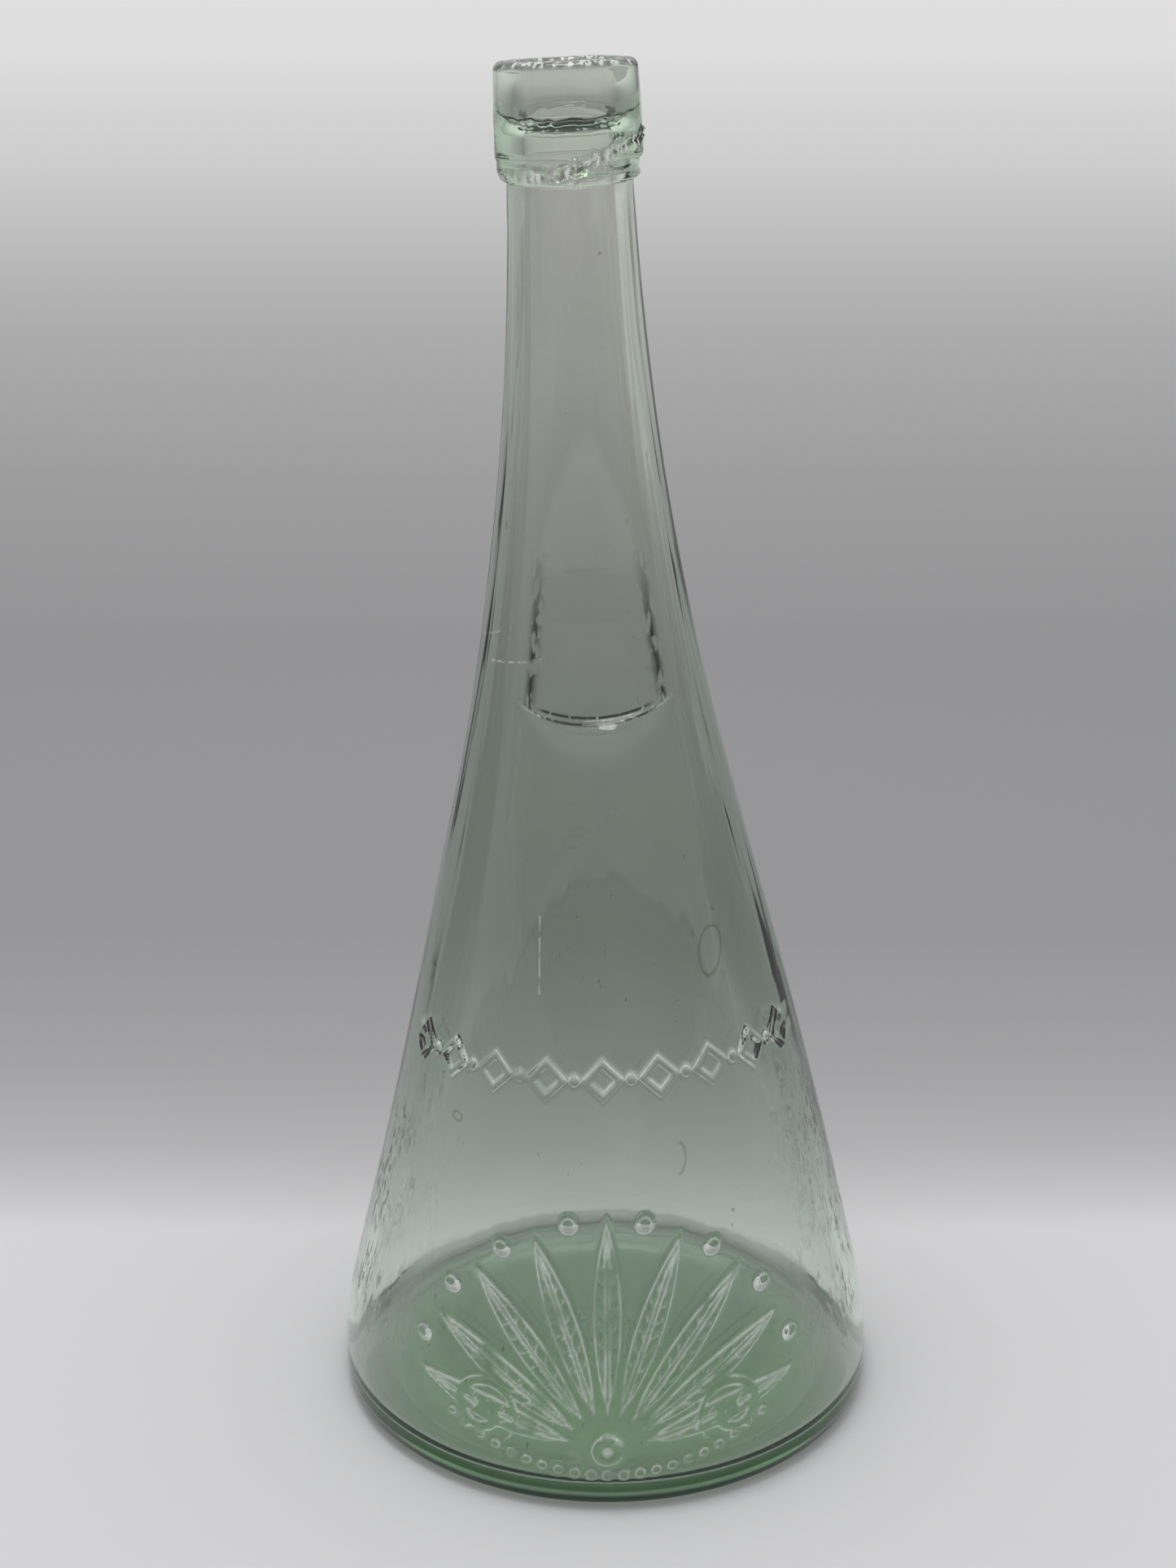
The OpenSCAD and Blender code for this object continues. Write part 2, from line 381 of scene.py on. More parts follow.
def rings(s, o):
    """The section as rings of (radius, height, azimuths, outside), from under the base to the inner floor."""
    foot_r = s.heel_d / 2 - s.foot_r
    edge_r = s.heel_d / 2 - s.heel_r - s.foot_w
    hollow_r = (edge_r ** 2 + s.push_up ** 2) / (2 * s.push_up)
    half = math.degrees(math.asin(edge_r / hollow_r))
    fine = azimuths(66, 0.55, 5.05)
    upper = azimuths(96, 1.2, 6)
    lip = azimuths(100, 1.1, 5)
    inner = azimuths(60, 2, 4)
    coarse = azimuths(60, 5, 7.5)
    out = []

    def add(points, columns, outside):
        out.extend((p[0], p[1], columns, outside) for p in points)

    add(arc((0, s.push_up - hollow_r), hollow_r, 90, 90 - half, 12)[1:-1], coarse, 1)
    foot = [(edge_r - 0.4 * MM, 0.25 * MM), (edge_r + 0.4 * MM, 0.0), (foot_r - 4 * MM, 0.0), (foot_r, 0.0)]
    add(foot, inner, 1)
    add(arc((foot_r, s.foot_r), s.foot_r, -90, 0, 12)[1:-1], fine, 1)
    body = levels([s.foot_r, (64 * MM, 0.62 * MM), (81.5 * MM, 1.5 * MM), (95 * MM, 0.54 * MM)])
    add([(o.outside(z), z) for z in body], fine, 1)
    above = levels([95 * MM, (150 * MM, 3 * MM), (s.flat_z - 2 * MM, 1 * MM), (s.flat_z + 3 * MM, 0.28 * MM),
                    (208 * MM, 1.2 * MM), (o.lip_z - 1 * MM, 3 * MM), (o.lip_z, 0.5 * MM)])[1:]
    add([(o.outside(z), z) for z in above], upper, 1)
    crease = o.lip_z + s.roll_h
    top_r = (s.lip_d - s.lip_taper) / 2 - s.rim_r
    add(arc((s.roll_d / 2 - s.lip_r, o.lip_z + s.lip_r), s.lip_r, -90, 60, 7), lip, 1)
    roll_top = (s.roll_d / 2 - s.lip_r / 2, o.lip_z + s.lip_r * 1.87)
    lip_low = (s.lip_d / 2 - s.lip_r * 0.74, crease + s.lip_r * 0.03)
    add(line(roll_top, lip_low, 0.3 * MM)[1:], lip, 1)
    add(arc((s.lip_d / 2 - s.lip_r, crease + s.lip_r), s.lip_r, -75, 0, 5), lip, 1)
    middle = (s.lip_d / 2, o.lip_z + s.lip_h / 2)
    top = (top_r + s.rim_r, s.height - s.rim_r)
    add(line((s.lip_d / 2, crease + s.lip_r), middle, 0.3 * MM)[1:] + line(middle, top, 0.6 * MM), lip, 1)
    add(arc((top_r, s.height - s.rim_r), s.rim_r, 0, 90, 8), lip, 1)
    mouth_r = s.mouth_d / 2
    rim = arc((mouth_r + s.lip_r, s.height - s.lip_r), s.lip_r, 90, 180, 6)
    add(line((top_r, s.height), rim[0], 0.8 * MM)[1:] + rim, lip, 1)
    shoulder = s.height - s.mouth_depth
    step = mouth_r - s.bore_d / 2
    add(line((mouth_r, s.height - s.lip_r), (mouth_r, shoulder + step), 0.7 * MM)[1:], lip, 0)
    add(arc((mouth_r - step, shoulder + step), step, 0, -50, 4), lip, 0)
    add(arc((mouth_r, shoulder - step), step, 130, 180, 4), lip, 0)
    bore = levels([shoulder - 2 * step, (shoulder - 5 * MM, -0.5 * MM), (o.lip_z, -1.5 * MM)])
    add([(s.bore_d / 2, z) for z in bore[:-1]], inner, 0)
    down = levels([o.lip_z, (212 * MM, -3 * MM), (148 * MM, -1.2 * MM), (24 * MM, -3 * MM)])
    add([(o.inside(z), z) for z in down], inner, 0)
    floor_r = hollow_r + s.bottom
    centre = s.push_up - hollow_r
    t = o.side_tan
    m = o.side(0) - o.inset - s.corner_r * math.hypot(1, t)
    b = m * t + centre
    reach = (floor_r + s.corner_r) ** 2 - m * m - centre * centre
    corner_z = (b + math.sqrt(b * b + (1 + t * t) * reach)) / (1 + t * t)
    corner = (m - t * corner_z, corner_z)
    floor_end = math.degrees(math.atan2(corner_z - centre, corner[0]))
    add(arc(corner, s.corner_r, math.degrees(math.atan(t)), floor_end - 180, 10), inner, 0)
    add(arc((0, centre), floor_r, floor_end, 90, 14)[1:-1], coarse, 0)
    return out


def ledge_lift(s, o, r, z, a):
    """Lift of a row of faces near the ledge of the thumb recess, so that it follows the round lower end."""
    reach = 24 * MM
    weight = max(0.0, 1 - abs(z - s.flat_z) / reach)
    weight = weight * weight * (3 - 2 * weight)
    x = min(abs(r * math.sin(math.radians(a))), 0.62 * s.flat_r)
    if abs(a) > 90 or weight == 0:
        return 0.0
    return weight * (s.flat_r - math.sqrt(s.flat_r ** 2 - x * x))


def revolve(name, s, o):
    """Closed mesh of the upright bottle. Rings with unlike azimuths are joined by triangles."""
    section = rings(s, o)
    verts, outside, spans = [], [], []
    for r, z, columns, out in section:
        spans.append((len(verts), columns))
        for a in columns:
            lift = ledge_lift(s, o, r, z, a) if 0.09 < z < 0.21 else 0.0
            radius = r
            if lift:
                radius = o.outside(z + lift) if out else o.inside(z + lift)
            angle_at = math.radians(a)
            verts.append((radius * math.sin(angle_at), -radius * math.cos(angle_at), z + lift))
            outside.append(float(out))
    faces = []
    for (low, low_columns), (high, high_columns) in zip(spans, spans[1:]):
        faces += between(low, low_columns, high, high_columns)
    under, over = len(verts), len(verts) + 1
    verts += [(0, 0, s.push_up), (0, 0, s.push_up + s.bottom)]
    outside += [1.0, 0.0]
    first, columns = spans[0]
    faces += [(under, first + (i + 1) % len(columns), first + i) for i in range(len(columns))]
    last, columns = spans[-1]
    faces += [(over, last + i, last + (i + 1) % len(columns)) for i in range(len(columns))]
    mesh = bpy.data.meshes.new(name)
    mesh.from_pydata(verts, [], faces)
    mesh.attributes.new("outside", "FLOAT", "POINT").data.foreach_set("value", outside)
    mesh.shade_smooth()
    return mesh


def between(low, low_columns, high, high_columns):
    """Faces between two rings, whose first vertices are low and high."""
    n, m = len(low_columns), len(high_columns)
    if low_columns == high_columns:
        return [(low + i, low + (i + 1) % n, high + (i + 1) % n, high + i) for i in range(n)]
    faces = []
    i = j = 0
    while i < n or j < m:
        next_low = low_columns[i + 1] if i + 1 < n else low_columns[0] + 360
        next_high = high_columns[j + 1] if j + 1 < m else high_columns[0] + 360
        if i < n and (j == m or next_low <= next_high):
            faces.append((low + i % n, low + (i + 1) % n, high + j % m))
            i += 1
        else:
            faces.append((low + i % n, high + (j + 1) % m, high + j % m))
            j += 1
    return faces


def group_with_inputs(name, inputs):
    """A geometry node tree with a Geometry input and named numbers, which come back as fields."""
    tree = bpy.data.node_groups.new(name, "GeometryNodeTree")
    tree.interface.new_socket("Geometry", in_out="INPUT", socket_type="NodeSocketGeometry")
    tree.interface.new_socket("Geometry", in_out="OUTPUT", socket_type="NodeSocketGeometry")
    identifiers = {}
    for title in inputs:
        socket = tree.interface.new_socket(title, in_out="INPUT", socket_type="NodeSocketFloat")
        identifiers[title] = socket.identifier
    entry = tree.nodes.new("NodeGroupInput")
    fields = {title: Field(tree, entry.outputs[title]) for title in inputs}
    return tree, entry, fields, identifiers


def palmette_height(x, z, v):
    """Height of the palmette, as a share of the relief. The angle is folded, so one leaf stands for all."""
    z = z - v["Root height"]
    rho = distance(x, z)
    phi = x.math("ARCTAN2", z)
    last = (v["Leaves"] - 1) / 2
    turn = v["Leaf span"] / (v["Leaves"] - 1)
    index = (phi / turn).math("ROUND").max(-last).min(last)
    folded = phi - index * turn
    long = v["Middle leaf"] - (v["Middle leaf"] - v["Side leaf"]) * abs(index) / last
    along = rho * folded.cos() - v["Root"]
    across = abs(rho * folded.sin())
    radius = (long.square() + v["Leaf width"].square()) / (v["Leaf width"] * 4)
    edge = distance(across + radius - v["Leaf width"] / 2, along - long / 2) - radius
    leaf = (-edge).step(-0.25 * MM, 0.8 * MM) * 0.75 + (-edge / (v["Leaf width"] / 2)).max(0) * 0.25
    rib = 1 - across.step(0.15 * MM, 0.9 * MM)
    rib_reach = along.step(1 * MM, 4 * MM) * (1 - (along / long).step(0.75, 0.97))
    vein_wave = ((along - across * 1.3) * (2 * math.pi / (3.2 * MM))).cos().step(0.55, 1.0)
    veins = vein_wave * (-edge).step(0.7 * MM, 1.4 * MM) * across.step(0.4 * MM, 0.8 * MM)
    leaf = leaf * (1 - rib * rib_reach * 0.75) * (1 - veins * 0.35)
    gap = ((phi / turn - 0.5).math("ROUND")).max(-last).min(last - 1)
    between_leaves = phi - (gap + 0.5) * turn
    tip = v["Middle leaf"] - (v["Middle leaf"] - v["Side leaf"]) * abs(gap + 0.5) / last
    berry = distance(rho * between_leaves.cos() - v["Root"] - tip, rho * between_leaves.sin())
    berry = 1 - berry.step(v["Berry"] * 0.2, v["Berry"] * 0.58)
    root = 1 - rho.step(v["Root"] * 0.34, v["Root"] * 0.56)
    pit = 1 - rho.step(v["Root"] * 0.1, v["Root"] * 0.26)
    return leaf.max(berry).max(root - pit * 0.5)


def scroll_height(x, z, v):
    """Height of the scroll on either side, and of the swag of pearls below, as a share of the relief."""
    a = abs(x) - v["Scroll place"]
    b = z - v["Scroll height"]
    rho = distance(a, b)
    pitch = v["Scroll"] / 1.6
    turns = rho / pitch - b.math("ARCTAN2", a) / math.tau
    off = abs(turns - turns.math("ROUND")) * pitch
    scroll = (1 - off.step(0.5 * MM, 1.3 * MM)) * (1 - rho.step(v["Scroll"] - 1.2 * MM, v["Scroll"]))
    scroll = scroll.max(1 - rho.step(0.9 * MM, 2.0 * MM))
    swag_r = 62 * MM
    up = z - 8.6 * MM - swag_r
    angle_at = x.math("ARCTAN2", -up)
    step = 3.3 * MM / swag_r
    last = 10
    index = (angle_at / step).math("ROUND").max(-last).min(last)
    along = (angle_at - index * step) * swag_r
    size = v["Pearl"] / 2 * (1.1 - abs(index) * 0.035)
    pearl = 1 - distance(along, distance(x, up) - swag_r).step(size * 0.3, size * 1.15)
    return scroll.max(pearl)


def band_height(azimuth, z, v):
    """Height of the band of lozenges and studs, as a share of the relief."""
    turn = v["Band span"] / (v["Lozenges"] - 1)
    last = (v["Lozenges"] - 1) / 2
    index = (azimuth / turn).math("ROUND").max(-last).min(last)
    radius = v["Band radius"]
    side = abs((azimuth - index * turn).sin() * radius)
    up = abs(z - v["Band height"])
    reach = v["Lozenge"] / 2 - side - up
    lozenge = reach.step(-0.4 * MM, 0.9 * MM)
    hollow = reach.step(1.5 * MM, 2.6 * MM) * 0.8
    gap = (azimuth / turn - 0.5).math("ROUND").max(-last).min(last - 1)
    stud = distance((azimuth - (gap + 0.5) * turn).sin() * radius, up)
    stud = 1 - stud.step(v["Stud"] * 0.2, v["Stud"] * 0.62)
    return (lozenge - hollow).max(stud)


def lip_form(tree, r, z, azimuth, outside, v):
    """Uneven, hand-turned lip: drooping lower edge, wrinkled crease, square left corner, wavy ring inside.

    The third value is large along the crease, the lower edge and the rim, where painted glints and painted
    shade go, and the fourth along the ring, where painted shade goes.
    """
    up = z - v["Lip start"]
    around = vector(tree, azimuth.sin(), azimuth.cos(), up * 40)
    coarse = noise(tree, around, 1.3, 1.0) - 0.5
    fine = noise(tree, around, 4.5, 2.0) - 0.5
    on_lip = up.step(-1 * MM, 1 * MM)
    outer = outside * on_lip
    inner = (1 - outside) * on_lip

    filled = up.step(0.8 * MM, 1.6 * MM) * (1 - up.step(6 * MM, 8 * MM))
    filled = filled * (1 - azimuth.near(95 * DEG, 35 * DEG)) * outer
    r = filled.mix(r, r.max(v["Lip radius"] - 0.3 * MM))
    corner = (1 - (up / (3.5 * MM)).max(0).min(1)) ** 1.7
    left = azimuth.near(-95 * DEG, 80 * DEG) * outer
    r = left.mix(r, r.min(v["Lip radius"] - corner * 1.2 * MM))

    fold = up - 1.7 * MM - azimuth.step(-28 * DEG, 84 * DEG) * 6.0 * MM - fine * 2.2 * MM
    along = azimuth.step(-48 * DEG, -24 * DEG) * (1 - azimuth.step(92 * DEG, 120 * DEG)) * outer
    wrinkle = fold.near(-0.2 * MM, 2.4 * MM) * fine * 0.9 * MM
    ridge = fold.near(0.75 * MM, 0.8 * MM) * 0.3 * MM
    groove = fold.near(0, 0.6 * MM) * 0.35 * MM
    r = r + (wrinkle + ridge - groove) * along * up.step(0.5 * MM, 2 * MM) + coarse * 0.5 * MM * outer
    crimp = noise(tree, vector(tree, azimuth * 14 + up * 900, up * 700, azimuth * 5), 1.0, 2.0, 0.7) - 0.5
    r = r + crimp * 2.2 * MM * fold.near(0, 1.5 * MM) * along
    droop = azimuth.near(6 * DEG, 70 * DEG) * 0.7 * MM - fine * 0.7 * MM
    z = z - droop * outside * up.near(0.6 * MM, 3.5 * MM)
    edge = (up - 1.2 * MM + droop).near(0, 1.4 * MM) * outer * 0.5

    above_ring = up - v["Lip height"] + v["Mouth depth"]
    r = r + inner * above_ring.near(7 * MM, 7 * MM) * 0.2 * MM
    r = r - inner * above_ring.near(-0.3 * MM, 1.3 * MM) * (0.95 * MM + coarse * 1.0 * MM)
    lift = 2.3 * MM - azimuth.cos() * 0.9 * MM + fine * 1.2 * MM
    z = z + lift * inner * above_ring.near(0, 6 * MM)
    z = z + (coarse * 0.5 - 0.25) * MM * up.step(v["Lip height"] - 6 * MM, v["Lip height"] - 1 * MM)
    thick = 1.3 * MM + azimuth.near(-72 * DEG, 32 * DEG) * 0.9 * MM
    thick = thick + azimuth.near(66 * DEG, 36 * DEG) * 0.7 * MM + fine * 1.2 * MM
    # Share of the painted shade along the wavy ring inside the mouth.
    ring = (1 - abs(above_ring) / thick).max(0) * inner * (azimuth.cos() * 2 + 0.4).max(0).min(1)
    rim = up.step(v["Lip height"] - 1.3 * MM, v["Lip height"] - 0.8 * MM) * outside * 0.7
    return r, z, (fold.near(-0.1 * MM, 1.7 * MM) * along).max(edge).max(rim), ring


def ornament(azimuth, x, z, v):
    """Height of all the ornament, as a share of the relief."""
    low = palmette_height(x, z, v).max(scroll_height(x, z, v)) * (1 - z.step(66 * MM, 68 * MM))
    high = band_height(azimuth, z, v) * z.step(78 * MM, 79 * MM) * (1 - z.step(97 * MM, 98 * MM))
    return low.max(high)


def unevenness(tree, radius, azimuth, z, outside):
    """How far the blown glass stands off its true radius: slow waves, streaks, and fine ribs up the neck."""
    def around(turns, rise, shift):
        return vector(tree, azimuth.sin() * turns, azimuth.cos() * turns, z * rise + outside * shift)

    waves = (noise(tree, around(2, 9, 7), 1.4, 1.0) - 0.5) * 1.0 * MM
    streaks = (noise(tree, around(5, 4, 3), 2.2, 1.5) - 0.5) * 0.25 * MM
    ribs = (noise(tree, around(16, 14, 0), 1.0, 2.0, 0.6) - 0.5) * outside * 0.12 * MM
    under_lip = 1 - z.step(250 * MM, 257 * MM)
    on_side = z.step(30 * MM, 110 * MM) * radius.step(5 * MM, 30 * MM).mix(0.35, 1.0)
    return ((waves + streaks) * on_side + ribs * z.step(60 * MM, 130 * MM)) * under_lip


def thumb_recess(tree, x, y, z, outside, front, v):
    """y with the flat of the thumb recess pressed in. The second value holds fields that mark its edges,
    where painted shade goes.
    """
    middle = x - 1.2 * MM
    rho = distance(middle, (z - v["Recess height"] - v["Recess radius"]).min(0))
    slope = 1.0
    flat = v["Recess flat"] + 3.2 * MM - ((z - v["Recess height"]) * 0.13).min(3.9 * MM) - x * 0.075
    flat = outside.mix(flat - v["Wall"], flat)
    reach = v["Recess radius"] + (1 - outside) * v["Wall"] * ((math.hypot(1, slope) - 1) / slope)
    below = rho - reach
    beyond = below.smooth_max(0, outside.mix(1.2 * MM, 0.2 * MM))
    riser = (beyond / v["Ledge slope"].tan()).min(0.8 * MM)
    rough = (noise(tree, vector(tree, x * 120, 0, z * 500), 1.0, 2.0) - 0.5) * outside * 0.35 * MM
    limit = -flat + rough * abs(x).step(8 * MM, 13 * MM) - riser - beyond * slope
    soft = below.step(0, 0.7 * MM)
    pressed = y.smooth_max(limit, outside.mix(4.0 * MM, soft.mix(0.4 * MM, 5.0 * MM)))
    share = z.step(120 * MM, 126 * MM) * (1 - z.step(226 * MM, 240 * MM)) * front
    # Shares of the painted shade: dark lines along the ledge and the sides of the flat.
    marks = {
        "fold": below / MM,
        "fold_shade": (1 - abs(middle).step(9.5 * MM, 12.5 * MM)) * share * outside,
        "side": (y - limit) / MM,
        "side_shade": (1 - soft) * share * outside * (1 - z.step(172 * MM, 196 * MM)),
    }
    return share.mix(y, pressed), marks


def wear(tree, radius, azimuth, z, outside):
    """Shares of the painted shade at the heel, of the rubbed hollow with its painted light, and of the stains
    and streaks at the sides.
    """
    turned = abs(azimuth)
    sides = turned.step(38 * DEG, 70 * DEG) * (1 - turned.step(105 * DEG, 130 * DEG)) * outside
    heel = (1 - z.step(3.2 * MM, 4.6 * MM)) * outside * z.step(0.1 * MM, 0.6 * MM)
    low = z.step(12 * MM, 30 * MM) * (1 - z.step(62 * MM, 84 * MM))
    on_neck = z.step(115 * MM, 175 * MM) * (1 - z.step(250 * MM, 258 * MM))
    streak = noise(tree, vector(tree, azimuth.sin(), azimuth.cos(), z * 0.9), 16, 2.0, 0.6)
    return {
        "heel": heel * (1 - turned.step(105 * DEG, 135 * DEG) * 0.7),
        "milky_and_lit": (1 - radius.step(43 * MM, 52 * MM)) * (1 - z.step(9.5 * MM, 11 * MM)) * outside,
        "stained": low * sides,
        "streaked": streak.step(0.55, 0.66) * on_neck * sides,
    }


def leaned(x, z, v):
    """x and z turned by the lean, which is bent in between its start and its end."""
    bend = v["Lean end"] - v["Lean start"]
    t = ((z - v["Lean start"]) / bend).max(0).min(1)
    run = bend * (t ** 3 - t ** 4 / 2) + (z - v["Lean end"]).max(0)
    turn = v["Lean"] * t.square() * (3 - t * 2)
    return x * turn.cos() - run * v["Lean"].sin(), z + x * turn.sin() - run * (1 - v["Lean"].cos())


def add_glass_form(tree, entry, v):
    """Moulds the upright mesh: ornament, uneven surfaces, crooked lip, thumb recess, and last the lean."""
    named = tree.nodes.new("GeometryNodeInputNamedAttribute")
    named.data_type = "FLOAT"
    named.inputs["Name"].default_value = "outside"
    outside = Field(tree, named.outputs[0])
    x, y, z = parts(tree, tree.nodes.new("GeometryNodeInputPosition").outputs[0])
    radius = distance(x, y)
    azimuth = x.math("ARCTAN2", -y)
    front = (-y).step(0, 5 * MM)
    body_face = z.step(v["Heel rounding"] * 0.8, v["Heel rounding"] * 1.3) * outside * front
    raised = ornament(azimuth, x, z, v) * body_face
    r = radius + raised * v["Relief"] * z.step(8 * MM, 14 * MM).mix(0.5, 1.0)
    r = r + unevenness(tree, radius, azimuth, z, outside)
    kept = wear(tree, radius, azimuth, z, outside)
    r, z, kept["wrinkled"], kept["ring"] = lip_form(tree, r, z, azimuth, outside, v)
    x = azimuth.sin() * r
    y, marks = thumb_recess(tree, x, -(azimuth.cos() * r), z, outside, front, v)
    lean_x, lean_z = leaned(x, z, v)

    geometry = entry.outputs["Geometry"]
    for name, value in {**kept, **marks, "raised": raised, "front": front * outside}.items():
        keep = tree.nodes.new("GeometryNodeStoreNamedAttribute")
        keep.data_type = "FLOAT"
        keep.inputs["Name"].default_value = name
        tree.links.new(geometry, keep.inputs["Geometry"])
        tree.links.new(value.socket, keep.inputs["Value"])
        geometry = keep.outputs["Geometry"]
    moved = tree.nodes.new("GeometryNodeSetPosition")
    tree.links.new(geometry, moved.inputs["Geometry"])
    tree.links.new(vector(tree, lean_x, y, lean_z), moved.inputs["Position"])
    return moved.outputs["Geometry"]


def finish_tree(tree, geometry, material):
    realize = tree.nodes.new("GeometryNodeRealizeInstances")
    tree.links.new(geometry, realize.inputs[0])
    paint = tree.nodes.new("GeometryNodeSetMaterial")
    paint.inputs["Material"].default_value = material
    tree.links.new(realize.outputs[0], paint.inputs["Geometry"])
    leave = tree.nodes.new("NodeGroupOutput")
    tree.links.new(paint.outputs["Geometry"], leave.inputs["Geometry"])


def baked(obj, tree, values, identifiers):
    """Runs a geometry node tree on obj, with its inputs set, and keeps the result as a plain mesh."""
    modifier = obj.modifiers.new("form", "NODES")
    modifier.node_group = tree
    for title, value in values.items():
        modifier[identifiers[title]] = float(value)
    evaluated = obj.evaluated_get(bpy.context.evaluated_depsgraph_get())
    mesh = bpy.data.meshes.new_from_object(evaluated)
    obj.modifiers.remove(modifier)
    obj.data = mesh
    return obj


def attribute(tree, name):
    node = tree.nodes.new("ShaderNodeAttribute")
    node.attribute_name = name
    return Field(tree, node.outputs["Fac"])


def tinted(tree, colours, share, over):
    """The colour socket colours, mixed towards the colour over by share."""
    node = tree.nodes.new("ShaderNodeMix")
    node.data_type = "RGBA"
    tree.links.new(share.socket, node.inputs["Factor"])
    tree.links.new(colours, node.inputs[6])
    node.inputs[7].default_value = (*over, 1)
    return node.outputs[2]


def scratch(along, across, centre, slope, length, width):
    """1 on a straight scratch, whose place and sizes are in millimetres."""
    ahead = along - centre[0] * MM
    off = abs(across - centre[1] * MM - ahead * slope)
    return 1 - off.max(abs(ahead) - length / 2 * MM).step(width * 0.3 * MM, width * MM)


def scratches(x, z):
    """1 on the three long scratches of the front."""
    short = scratch(x, z, (-23, 171), 0.67, 3, 0.35)
    level = scratch(x, z, (-17.9, 167.1), 0.22, 10.2, 0.3)
    upright = scratch(z, x, (111.5, -13.5), 0.01, 15, 0.22)
    return short.max(level).max(upright)


def bubbles(x, z):
    """1 on the outlines of the teardrop, the hook and the round bubble of the front."""
    drop_z = z - 110.7 * MM
    tear = distance((x - 20.4 * MM) / 2.3, (drop_z + drop_z.square() * 20) / 4.6)
    tear = tear + (1 - z.step(98 * MM, 100 * MM)) * 9 * MM
    hook = distance(x - 14.2 * MM, (z - 71.5 * MM) / 2.4)
    ball = distance(x + 30.4 * MM, z - 75.5 * MM)
    lines = tear.near(1 * MM, 0.13 * MM) + ball.near(0.9 * MM, 0.4 * MM)
    return (lines + hook.near(1.3 * MM, 0.3 * MM) * (x - 14 * MM).step(-0.5 * MM, 1 * MM)).min(1)


def film(tree, z, g):
    """Tint of the surface by height: clear at the base, worn round the body, then the neck and its collar."""
    top = 0.28
    stops = [(0.0, g.clear, g.clear, 0), (0.016, g.clear, g.clear, 0), (0.026, g.clear, g.worn, 0.2),
             (0.055, g.clear, g.worn, 0.45), (0.09, g.clear, g.worn, 0.9), (0.11, g.clear, g.worn, 0.95),
             (0.15, g.worn, g.neck, 0.35), (0.19, g.worn, g.neck, 0.7), (0.222, g.worn, g.neck, 1),
             (0.245, g.neck, g.collar, 1), (0.258, g.neck, g.collar, 1), (0.266, g.neck, g.collar, 0.2)]
    ramp = tree.nodes.new("ShaderNodeValToRGB")
    for place, (height, low, high, share) in enumerate(stops):
        elements = ramp.color_ramp.elements
        stop = elements[place] if place < 2 else elements.new(height / top)
        stop.position = height / top
        stop.color = (*(a + (b - a) * share for a, b in zip(low, high)), 1)
    tree.links.new((z / top).socket, ramp.inputs[0])
    return ramp.outputs[0]


def glass_material(g):
    """Thick old glass: pale green, with bubbles, scratches, a worn body and stains low on the sides,
    and with painted shade, painted light and painted highlights.
    """
    material = bpy.data.materials.new("old_green_glass")
    material.use_nodes = True
    tree = material.node_tree
    tree.nodes.clear()
    shader = tree.nodes.new("ShaderNodeBsdfPrincipled")
    shader.inputs["IOR"].default_value = g.ior
    absorb = tree.nodes.new("ShaderNodeVolumeAbsorption")
    absorb.inputs["Color"].default_value = (*g.tint, 1)
    absorb.inputs["Density"].default_value = g.density
    out = tree.nodes.new("ShaderNodeOutputMaterial")
    tree.links.new(shader.outputs[0], out.inputs["Surface"])
    tree.links.new(absorb.outputs[0], out.inputs["Volume"])

    x, y, z = parts(tree, tree.nodes.new("ShaderNodeTexCoord").outputs["Object"])
    names = ("outside", "front", "heel", "milky_and_lit", "stained", "streaked", "wrinkled", "ring", "raised",
             "fold", "fold_shade", "side", "side_shade")
    kept = {name: attribute(tree, name) for name in names}
    mottle = noise(tree, vector(tree, x, y, z * 0.5), 130, 2.0, 0.7)
    grain = noise(tree, vector(tree, x, y, z * 0.25), 900, 1.0, 0.7)

    stain = grain.step(0.47, 0.62) * mottle.step(0.44, 0.6) * kept["stained"]
    # Real dark specks, and the outlines of the bubbles painted dark as painted shade, since the bubbles
    # themselves are not modelled.
    flaws = ((1 - grain.step(0.2, 0.235)) * kept["outside"]).max(bubbles(x, z) * kept["front"])
    # Painted shade: dark lines at the ledge and sides of the thumb recess, the ring in the mouth and bits of
    # the lip's crease.
    double = kept["fold"].near(-0.45, 0.6) + kept["fold"].near(0.5, 0.42)
    hatch = kept["side"].near(-0.3, 1.2) * kept["side_shade"] * grain.step(0.42, 0.52)
    # Painted glints: white specks along the crease, the lower edge and the rim of the lip.
    painted_glints = grain.step(0.54, 0.59) * kept["wrinkled"]
    dark = double * grain.step(0.3, 0.45) * kept["fold_shade"] * 1.2 + hatch
    dark = dark.max(kept["ring"].step(0.05, 0.3))
    dark = dark.max((1 - grain.step(0.38, 0.44)) * kept["wrinkled"] * 0.8)
    # Painted highlights: white along the edges of the raised ornament.
    painted_edge_highlight = kept["raised"].near(0.5, 0.34) * mottle.step(0.3, 0.55)
    scratched = scratches(x, z) * kept["front"] * grain.step(0.42, 0.56)

    base = film(tree, z, g)
    # Painted shade at the heel, painted light on the hollow under the base, real streaks and stains, painted
    # shade in the folds, and painted glints and highlights in white.
    for share, over in ((kept["heel"], g.heel), (kept["milky_and_lit"], g.milky_and_lit), (kept["streaked"] * 0.45, g.streak),
                        (stain.max(flaws) * 0.8, g.stain), (dark, g.ring), (painted_glints.max(painted_edge_highlight), g.clear)):
        base = tinted(tree, base, share, over)
    tree.links.new(base, shader.inputs["Base Color"])
    # Less transmission where the painted colours must show, and on scratches and stains.
    dull = scratched * 0.4 + stain * 0.3 + kept["heel"] * 0.55 + kept["milky_and_lit"] * 0.3
    dull = dull + painted_glints * 0.85 + painted_edge_highlight * 0.3
    tree.links.new((1 - dull.min(0.9)).socket, shader.inputs["Transmission Weight"])
    rough = 0.003 + mottle.step(0.48, 0.7) * kept["outside"] * 0.04 + (stain + scratched) * 0.35
    tree.links.new(rough.socket, shader.inputs["Roughness"])
    return material


